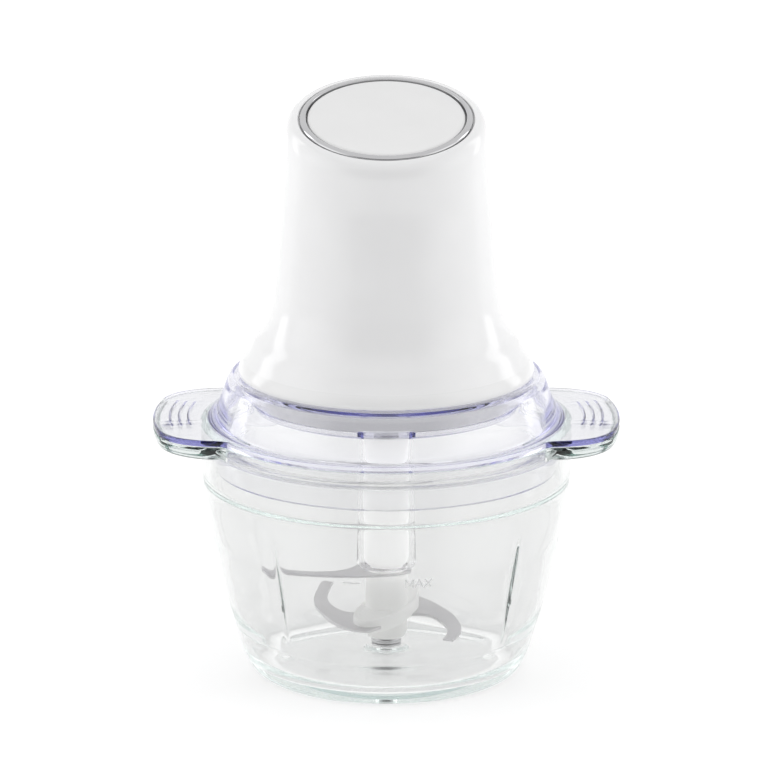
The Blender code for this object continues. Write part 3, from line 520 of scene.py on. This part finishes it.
def make_lid():
    """Clear lid: collar, recess for the motor unit, dome, flange with ridged ears and skirt."""
    rim = rim_outline()
    overhang = np.clip((rim - RIM_R) / 3, 0, 1)
    rounding = 0.3 + 0.7 * overhang
    recess = key_outline(RECESS_R)
    collar = [(12.6, 111.4), (12.6, 118.3), (13.0, 118.7), (recess - 0.8, 118.7),
              (recess - 0.2, 118.9), (recess, 119.5), (recess, KEY_TOP - 0.4),
              (recess + 0.3, KEY_TOP), (RECESS_R, KEY_TOP + 0.3), (RECESS_R, 130.6),
              (RECESS_R + 0.3, 131.2), (RECESS_R + 0.9, 131.4)]
    dome = curved([(63.6, 131.4), (65.2, 131.1), (67.0, 129.8), (68.2, 127.8), (68.9, 126.0),
                   (70.1, 122.6), (71.4, 119.0), (73.4, 115.4), (74.9, 113.3),
                   (76.6, FLANGE_TOP_Z)], 0.9)
    flange = [(76.7, FLANGE_TOP_Z), (76.9, FLANGE_TOP_Z)]
    angle = angles_of(STATIONS)
    rearward = np.degrees(np.arctan2(np.sin(angle), np.abs(np.cos(angle))))
    ridge = 1 - smooth_step(np.abs(rearward - 2.7), 9.3, 10.8)
    dot = 1 - smooth_step(np.abs(rearward + 9.8), 0.6, 1.2)
    raised = (ridge + dot) * (overhang > 0.5)
    for centre in RIDGE_SHARES:
        for offset, lift in RIDGE_SECTION:
            radius = FLANGE_START_R + (rim - rounding - FLANGE_START_R) * (centre + offset)
            flange.append((radius, FLANGE_TOP_Z + lift * raised))
    edge = [(rim - rounding - 0.1, FLANGE_TOP_Z)]
    edge += rounded_corner(rim, FLANGE_TOP_Z, rounding, 1)[::-1]
    edge += rounded_corner(rim, FLANGE_LOW_Z, rounding, -1)
    edge += [(rim - rounding - 0.1, FLANGE_LOW_Z)]
    skirt = [(74.6, FLANGE_LOW_Z), (74.4, FLANGE_LOW_Z), (73.95, 109.3), (73.8, 108.8),
             (73.8, 105.0), (72.4, 104.8), (72.4, 101.2), (73.8, 101.0), (73.6, 92.6),
             (73.2, 91.8), (72.0, 91.8), (71.6, 92.4)]
    inner = curved([(71.4, 109.8), (69.6, 115.0), (67.9, 120.4), (66.2, 125.4), (65.6, 127.2),
                    (64.4, 128.4), (62.4, 128.7)], 1.2)
    well = [(60.4, 128.7), (59.7, 128.3), (59.4, 127.6)]
    well += curved([(59.3, 121.6), (59.0, 120.0), (58.1, 118.5), (56.8, 117.5), (54.8, 117.0)], 0.5)
    well += [(54.4, 117.0), (15.6, 117.0), (15.0, 116.7), (14.8, 116.0), (14.8, 111.6),
             (14.4, 111.0), (13.0, 111.0)]
    profile = collar + dome + flange + edge + skirt + inner + well
    mesh = turned("lid_shell", profile)
    link_mesh("lid_shell", mesh, "lid_plastic", "lid_body", ["lid"], sharp_angle=28)


def make_lid_seal():
    profile = [(72.75, 101.6), (72.6, 103.0), (72.75, 104.4), (74.0, 104.4), (75.1, 103.9),
               (75.3, 103.4), (75.1, 103.0), (74.2, 102.5), (74.0, 101.8), (73.6, 101.5)]
    mesh = turned("lid_seal_ring", profile, 240)
    link_mesh("lid_seal_ring", mesh, "seal_rubber", "lid_body", ["lid_seal"])


# Motor unit

def make_motor_housing():
    """White casing; each (radius, height, tilt) of its flare leans further towards the front."""
    flare = [(61.4, 137.7, 0), (59.2, 141.0, 0), (56.9, 145.0, 0), (53.4, 149.6, 0),
             (50.9, 154.6, 0), (49.0, 161.5, 0.3), (47.6, 172.0, 1.8), (45.3, 197.5, 7.8),
             (43.1, 222.0, 14), (42.7, 233.0, 15.5), (42.5, 236.6, 15.5), (42.0, 239.0, 15.5),
             (41.2, 240.7, 15.5), (39.8, 241.8, 15.5), (37.6, TOP_Z + 0.15, 15.5)]
    outside = curved(flare, 1.5)
    rows = [round_row(r, z, STATIONS, math.radians(tilt)) for r, z, tilt in outside]
    seat = [(37.3, -0.1), (37.2, -1.35), (33.9, -1.35), (33.9, -3.7), (39.3, -3.7)]
    for radius, height in seat:
        row = round_row(radius, height, STATIONS)
        rows.append([TOP_FRAME @ Vector(point) for point in row])
    inside = curved([(r - CASING_WALL, z, tilt) for r, z, tilt in reversed(flare[:10])], 5.0)
    rows += [round_row(r, z, STATIONS, math.radians(tilt)) for r, z, tilt in inside]
    mesh = skin("motor_casing", rows, STATIONS)
    link_mesh("motor_casing", mesh, "housing_plastic", "motor_unit_body", ["motor_housing"])


def make_base_cover():
    """White band under the casing, its spigot and its three screw bosses, in a darker white with a
    painted glow.
    """
    spigot = key_outline(RECESS_R, SPIGOT_GAP)
    profile = [(8.3, BAND_LOW_Z), (50.2, BAND_LOW_Z), (spigot - 0.6, BAND_LOW_Z),
               (spigot - 0.2, 120.4), (spigot, 120.8), (spigot, KEY_TOP + 0.4),
               (RECESS_R - SPIGOT_GAP, KEY_TOP + 0.7), (RECESS_R - SPIGOT_GAP, 131.7),
               (62.6, 131.7), (63.1, 131.9), (63.3, 132.4), (63.1, 133.8), (62.5, 135.6),
               (61.46, 137.6), (61.4, 137.68), (61.2, 137.68), (57.6, 137.68), (57.6, 139.2),
               (55.9, 139.2), (55.6, 134.2), (50.0, 133.6), (49.8, 122.7), (11.0, 122.7),
               (11.0, 130.0), (8.3, 130.0)]
    mesh = turned("motor_base_band", profile)
    # The band and its bosses take the darker white with the painted glow
    band = link_mesh("motor_base_band", mesh, "housing_plastic", "motor_unit_body",
                     ["base_cover"], finish="band_plastic_painted_glow")
    for number, degrees in enumerate(SCREW_ANGLES, 1):
        x, y = (SCREW_CIRCLE_R * f(math.radians(degrees)) for f in (math.cos, math.sin))
        boss = turned("screw_boss", [(4.0, BAND_LOW_Z), (4.0, BORE_TOP_Z), (2.0, BORE_TOP_Z),
                                     (2.0, BOSS_TOP_Z), (5.3, BOSS_TOP_Z), (5.3, BAND_LOW_Z)], 48)
        boss.transform(Matrix.Translation((x, y, 0)))
        link_mesh(f"screw_boss_{number}", boss, "housing_plastic", "motor_unit_body",
                  finish="band_plastic_painted_glow")
        cutter_mesh = turned("screw_bore", [(0, 119.0), (4.6, 119.0), (4.6, BORE_TOP_Z),
                                            (0, BORE_TOP_Z)], 48, closed=False)
        cutter_mesh.transform(Matrix.Translation((x, y, 0)))
        cutter_mesh.transform(Matrix.Scale(MM, 4))
        cutter = bpy.data.objects.new("screw_bore", cutter_mesh)
        bpy.context.scene.collection.objects.link(cutter)
        cut = band.modifiers.new("bore", "BOOLEAN")
        cut.object, cut.operation, cut.solver = cutter, "DIFFERENCE", "EXACT"
        apply_modifiers(band)
        bpy.data.objects.remove(cutter)


def apply_modifiers(obj):
    """Turn an object's modifiers into its mesh."""
    bpy.context.view_layer.update()
    graph = bpy.context.evaluated_depsgraph_get()
    mesh = bpy.data.meshes.new_from_object(obj.evaluated_get(graph))
    obj.modifiers.clear()
    obj.data = mesh


def make_chrome_ring():
    profile = [(34.0, -1.05), (34.0, 0.5)]
    profile += curved([(34.05, 0.7), (34.3, 0.9), (34.8, 0.95), (35.8, 0.7), (36.4, 0.35),
                       (36.6, 0.1)], 0.3)
    profile += [(36.65, -0.2), (36.65, -1.05)]
    mesh = turned("trim_ring", profile, 240)
    mesh.transform(TOP_FRAME)
    link_mesh("trim_ring", mesh, "chrome", "motor_unit_body", ["chrome_ring"])


def make_button():
    profile = [(0, -0.1), (9.0, -0.08), (18.0, -0.02), (26.0, 0.12), (30.0, 0.3), (31.8, 0.45),
               (32.6, 0.45), (33.15, 0.2), (33.4, -0.3), (33.4, -4.1), (35.4, -4.1),
               (35.4, -5.6), (31.4, -5.6), (31.4, -2.9), (0, -2.9)]
    mesh = turned("press_button", profile, 240, closed=False)
    mesh.transform(TOP_FRAME)
    link_mesh("press_button", mesh, "button_plastic", "button_body", ["button_cap"])


def make_return_spring():
    """Round-wire coil under the button, built at one length with a mesh of its own; the real coil
    shortens as the button goes down.
    """
    turns, per_turn, around_wire = 5, 28, 10
    coil_r, wire_r, low, high = 14.0, 0.55, 220.75, 234.15
    steps = turns * per_turn
    rows = [[(coil_r, 0.0, low)]]
    for step in range(steps + 1):
        angle = 2 * math.pi * step / per_turn
        outwards = Vector((math.cos(angle), math.sin(angle), 0))
        middle = outwards * coil_r + Vector((0, 0, low + (high - low) * step / steps))
        rows.append([middle + wire_r * (outwards * math.cos(a) + Vector((0, 0, math.sin(a))))
                     for a in angles_of(around_wire)])
    rows.append([(coil_r, 0.0, high)])
    mesh = skin("return_spring", rows, around_wire, closed=False)
    spring = link_mesh("return_spring", mesh, "pin_steel", "motor_unit_body", ["button_spring"])
    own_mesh(spring)


def make_cord_gland():
    profile = [(2.6, 0), (2.6, 10.6), (3.6, 10.6), (6.0, 10.5), (6.6, 10.2), (6.8, 9.7),
               (6.8, 8.5), (4.1, 8.2), (4.1, 3.6), (5.6, 3.4), (5.6, 1.2), (4.4, 0)]
    mesh = turned("lead_inlet", profile, 64)
    rearwards = Matrix.Rotation(-math.pi / 2, 4, "X")
    mesh.transform(Matrix.Translation((0, GLAND_Y, GLAND_Z)) @ rearwards)
    link_mesh("lead_inlet", mesh, "black_rubber", "motor_unit_body", ["cord_gland"])


# Blade unit

def oval(half_length, half_width, count):
    """Radius of an oval that lies along the blade seat, at each of count angles."""
    angle = angles_of(count) - SEAT_ANGLE
    return 1 / np.hypot(np.cos(angle) / half_length, np.sin(angle) / half_width)


def make_hub():
    """Blade unit's column, whose lower blade seat slants along its oval's length."""
    count = 144
    seat, small_seat = oval(21.0, 10.4, count), oval(19.4, 9.6, count)
    along_seat = seat * np.cos(angles_of(count) - SEAT_ANGLE)
    rise = SEAT_SLOPE * (along_seat + SEAT_HALF_LENGTH)
    profile = [(0, 35.0), (5.9, 35.0), (5.9, 14.3), (7.6, 14.3), (8.1, 14.7), (8.7, 16.2),
               (8.95, 18.0), (9.05, 20.4 + 0.6 * rise), (seat - 0.5, 20.9 + 0.6 * rise),
               (seat, 21.5 + 0.6 * rise), (seat, 25.2 + rise), (seat - 0.5, 25.9 + rise),
               (small_seat - 0.4, 26.1 + rise), (np.maximum(small_seat - 2.0, 9.6), 25.6 + rise),
               (9.3, 27.4 + 0.5 * rise), (9.15, 29.6 + 0.5 * rise), (9.15, 43.2),
               (8.8, 43.6), (7.4, 43.6), (7.4, 45.4), (7.0, 46.4), (7.6, 47.4), (8.5, 49.0),
               (9.4, 50.8), (9.65, 53.0), (9.65, 100.0), (9.15, 108.0), (9.15, 111.6),
               (8.7, 112.4), (8.0, 112.6), (7.3, 112.6), (6.9, 112.2), (6.9, 97.4), (0, 97.4)]
    mesh = turned("hub_column", profile, count, closed=False)
    link_mesh("hub_column", mesh, "hub_plastic", "blade_body", ["blade_hub"])


def make_hub_sleeve():
    low = 46.6
    profile = [(9.45, low), (10.6, low + 0.2), (11.8, low + 1.0), (12.5, low + 2.4),
               (12.65, low + 4.2), (12.35, 65.0), (11.9, 86.0), (11.5, 105.4), (11.35, 107.4),
               (10.8, 108.7), (9.6, 109.2), (9.45, 108.6), (10.0, 107.6), (10.3, 105.4),
               (10.7, 86.0), (11.15, 65.0), (11.4, low + 4.4), (11.1, low + 2.8),
               (10.3, low + 1.8), (9.45, low + 1.4)]
    mesh = turned("column_cover", profile, 144)
    link_mesh("column_cover", mesh, "sleeve_plastic", "blade_body", ["hub_sleeve"])


def make_hub_bush():
    profile = [(0, 31.4), (3.3, 31.4), (3.3, 10.8), (6.0, 10.8), (6.35, 11.0), (6.45, 11.4),
               (6.45, 13.5), (6.2, 13.9), (5.5, 13.9), (5.5, 34.6), (0, 34.6)]
    mesh = turned("hub_foot_bush", profile, 96, closed=False)
    link_mesh("hub_foot_bush", mesh, "pin_steel", "blade_body", ["hub_bush"])


def make_bowl_pin():
    profile = [(0, 3.8), (3.0, 3.8), (3.0, 9.0), (6.1, 9.0), (6.45, 9.3), (6.45, 10.2),
               (6.1, 10.5), (3.0, 10.5), (3.0, 29.4), (2.8, 30.0), (2.1, 30.4), (0, 30.4)]
    mesh = turned("pivot_pin", profile, 64, closed=False)
    link_mesh("pivot_pin", mesh, "pin_steel", "bowl_body", ["bowl_pin"])


def curve_point(points, t):
    """Point at t of the Bezier curve with the given control points."""
    layer = [Vector(p) for p in points]
    while len(layer) > 1:
        layer = [a.lerp(b, t) for a, b in zip(layer, layer[1:])]
    return layer[0]


def arm_outline(leading, trailing, steps=36):
    """Points out along the leading edge's curve and back along the trailing edge's."""
    out = [curve_point(leading, i / steps) for i in range(steps + 1)]
    back = [curve_point(trailing, i / steps) for i in range(steps + 1)]
    return out + back[::-1]


def blade(name, outline, low, node):
    """Flat plate from height low up, with a hole round the hub's neck and rounded edges."""
    hole = [Vector((HUB_NECK_R + 0.3, 0)) @ Matrix.Rotation(-a, 2) for a in angles_of(72)]
    plate = bmesh.new()
    edges = []
    for points in (outline, hole):
        verts = [plate.verts.new((p.x, p.y, low)) for p in points]
        edges += [plate.edges.new(pair) for pair in zip(verts, verts[1:] + verts[:1])]
    bmesh.ops.triangle_fill(plate, edges=edges, use_beauty=True)
    raised = bmesh.ops.extrude_face_region(plate, geom=plate.faces[:])
    moved = [item for item in raised["geom"] if isinstance(item, bmesh.types.BMVert)]
    bmesh.ops.translate(plate, vec=(0, 0, BLADE_THICKNESS), verts=moved)
    bmesh.ops.recalc_face_normals(plate, faces=plate.faces)
    rim = [edge for edge in plate.edges
           if len(edge.link_faces) == 2 and edge.calc_face_angle(0) > 1.2
           and abs(edge.verts[0].co.z - edge.verts[1].co.z) < 0.01]
    bmesh.ops.bevel(plate, geom=rim, offset=0.22, segments=2, profile=0.6, affect="EDGES")
    mesh = bpy.data.meshes.new(name)
    plate.to_mesh(mesh)
    plate.free()
    link_mesh(name, mesh, "blade_steel", "blade_body", [node], sharp_angle=50)


def make_blades():
    """The lower blade has two sickle arms, each curling clockwise; the upper has one long arm."""
    outer = [(7.0, 22.8), (20.0, 25.1), (25.0, 5.6), (39.2, -13.0), (28.0, -37.8)]
    inner = [(10.2, -1.5), (20.0, 3.0), (27.2, -13.0), (27.6, -24.0), (23.8, -35.6)]
    arm = arm_outline(outer, inner)
    blade("sickle_blade", arm + [-p for p in arm], LOWER_BLADE_Z, "lower_blade")
    front = [(10.6, -2.5), (3.0, -15.0), (-20.0, -16.5), (-42.0, -18.5), (-53.6, -9.0)]
    rear = [(-12.6, 10.2), (-16.0, 1.0), (-21.0, -8.5), (-40.0, -9.0), (-54.2, -2.6)]
    upper = arm_outline(front, rear)
    upper += [Vector((-3.0, 10.4)), Vector((6.0, 8.4)), Vector((10.8, 5.6))]
    blade("long_blade", upper, UPPER_BLADE_Z, "upper_blade")


# The CAD nodes that are shown as they are

def dress_cad_nodes():
    for subpart in frame["record"]["subparts"]:
        node = frame["nodes"][subpart["node"]]
        node.data.materials.clear()
        node.data.materials.append(MATERIALS[subpart["material_slot"]])


# Surroundings

def make_floor():
    """Pale floor with a painted pool of light under the bowl, standing in for the light the glass
    gathers there.
    """
    mesh = bpy.data.meshes.new("studio_floor")
    work = bmesh.new()
    bmesh.ops.create_grid(work, x_segments=8, y_segments=8, size=6.0)
    work.to_mesh(mesh)
    work.free()
    floor = bpy.data.objects.new("studio_floor", mesh)
    bpy.context.scene.collection.objects.link(floor)
    made = solid("studio_floor", (0.50, 0.50, 0.50), 0.6, variation=0.005, scale=3.0, bump=0.0,
                 glow=FLOOR_GLOW)
    shader = made.node_tree.nodes["Principled BSDF"]
    shader.inputs["Specular IOR Level"].default_value = 0.1
    nodes = Nodes(made, fresh=False)
    where = nodes.add("ShaderNodeSeparateXYZ")
    nodes.link(nodes.add("ShaderNodeTexCoord").outputs["Object"], where.inputs[0])
    x, y, _ = where.outputs
    reach = nodes.math("SQRT", nodes.math("ADD", nodes.math("MULTIPLY", x, x),
                                          nodes.math("MULTIPLY", y, y)))
    # Painted pool of light: the floor glows brighter within the bowl's foot
    painted_light_pool = nodes.math("SUBTRACT", 1.0, nodes.ramp(reach, *FOOT_EDGE))
    open_floor = (OPEN_FLOOR_SHARE, OPEN_FLOOR_SHARE, OPEN_FLOOR_SHARE)
    nodes.link(nodes.mix(painted_light_pool, open_floor, (1, 1, 1)), shader.inputs["Emission Color"])
    mesh.materials.append(made)


def make_world():
    """Bright studio all round, dimmer from the front and brighter from both sides."""
    world = bpy.data.worlds.new("studio")
    bpy.context.scene.world = world
    nodes = Nodes(world)
    direction = nodes.add("ShaderNodeSeparateXYZ")
    nodes.link(nodes.add("ShaderNodeTexCoord").outputs["Generated"], direction.inputs[0])
    x, y, z = direction.outputs
    beside = nodes.math("MULTIPLY", nodes.ramp(nodes.math("ABSOLUTE", x), 0.45, 0.8),
                        nodes.math("SUBTRACT", 1.0, nodes.ramp(y, 0.0, 0.35)))
    side = nodes.math("MULTIPLY", beside, SIDE_EXTRA)
    low = nodes.math("SUBTRACT", 1.0, nodes.ramp(z, 0.45, 0.8))
    front = nodes.ramp(nodes.math("MULTIPLY", y, -1.0), 0.3, 0.85)
    dimmed = nodes.math("MULTIPLY", nodes.math("MULTIPLY", front, low), -FRONT_LOSS)
    strength = nodes.math("ADD", nodes.math("ADD", side, ROOM_LIGHT), dimmed)
    background = nodes.add("ShaderNodeBackground")
    background.inputs["Color"].default_value = (1, 1, 1, 1)
    nodes.link(strength, background.inputs["Strength"])
    nodes.link(background.outputs[0], nodes.add("ShaderNodeOutputWorld").inputs["Surface"])


def make_area_light(name, place, size, power):
    """Rectangular soft light at place, in metres, turned to the object's middle."""
    data = bpy.data.lights.new(name, "AREA")
    data.shape, data.size, data.size_y, data.energy = "RECTANGLE", size[0], size[1], power
    light = bpy.data.objects.new(name, data)
    light.location = place
    aim = CAMERA_TARGET * MM - light.location
    light.rotation_euler = aim.to_track_quat("-Z", "Y").to_euler()
    bpy.context.scene.collection.objects.link(light)


def make_camera():
    data = bpy.data.cameras.new("camera")
    data.lens, data.sensor_width = CAMERA_LENS, 36.0
    data.clip_end = 30.0
    camera = bpy.data.objects.new("camera", data)
    away = Vector((0, -math.cos(CAMERA_ELEVATION), math.sin(CAMERA_ELEVATION)))
    camera.location = (CAMERA_TARGET + away * CAMERA_DISTANCE) * MM
    camera.rotation_euler = (-away).to_track_quat("-Z", "Y").to_euler()
    bpy.context.scene.collection.objects.link(camera)
    bpy.context.scene.camera = camera


MATERIALS = make_materials()
dress_cad_nodes()
make_bowl()
make_level_mark()
make_bowl_pin()
make_lid()
make_lid_seal()
make_motor_housing()
make_base_cover()
make_chrome_ring()
make_button()
make_return_spring()
make_cord_gland()
make_hub()
make_hub_sleeve()
make_hub_bush()
make_blades()
make_floor()
make_world()
for name, x in (("left_panel", -1.15), ("right_panel", 1.15)):
    make_area_light(name, Vector((x, 0.6, 0.7)), (0.35, 1.4), 2.2)
make_camera()

scene = bpy.context.scene
scene.view_settings.view_transform = "Standard"
scene.cycles.transmission_bounces = 32
scene.cycles.transparent_max_bounces = 24
scene.cycles.glossy_bounces = 32
scene.cycles.max_bounces = 40
scene.cycles.volume_bounces = 0
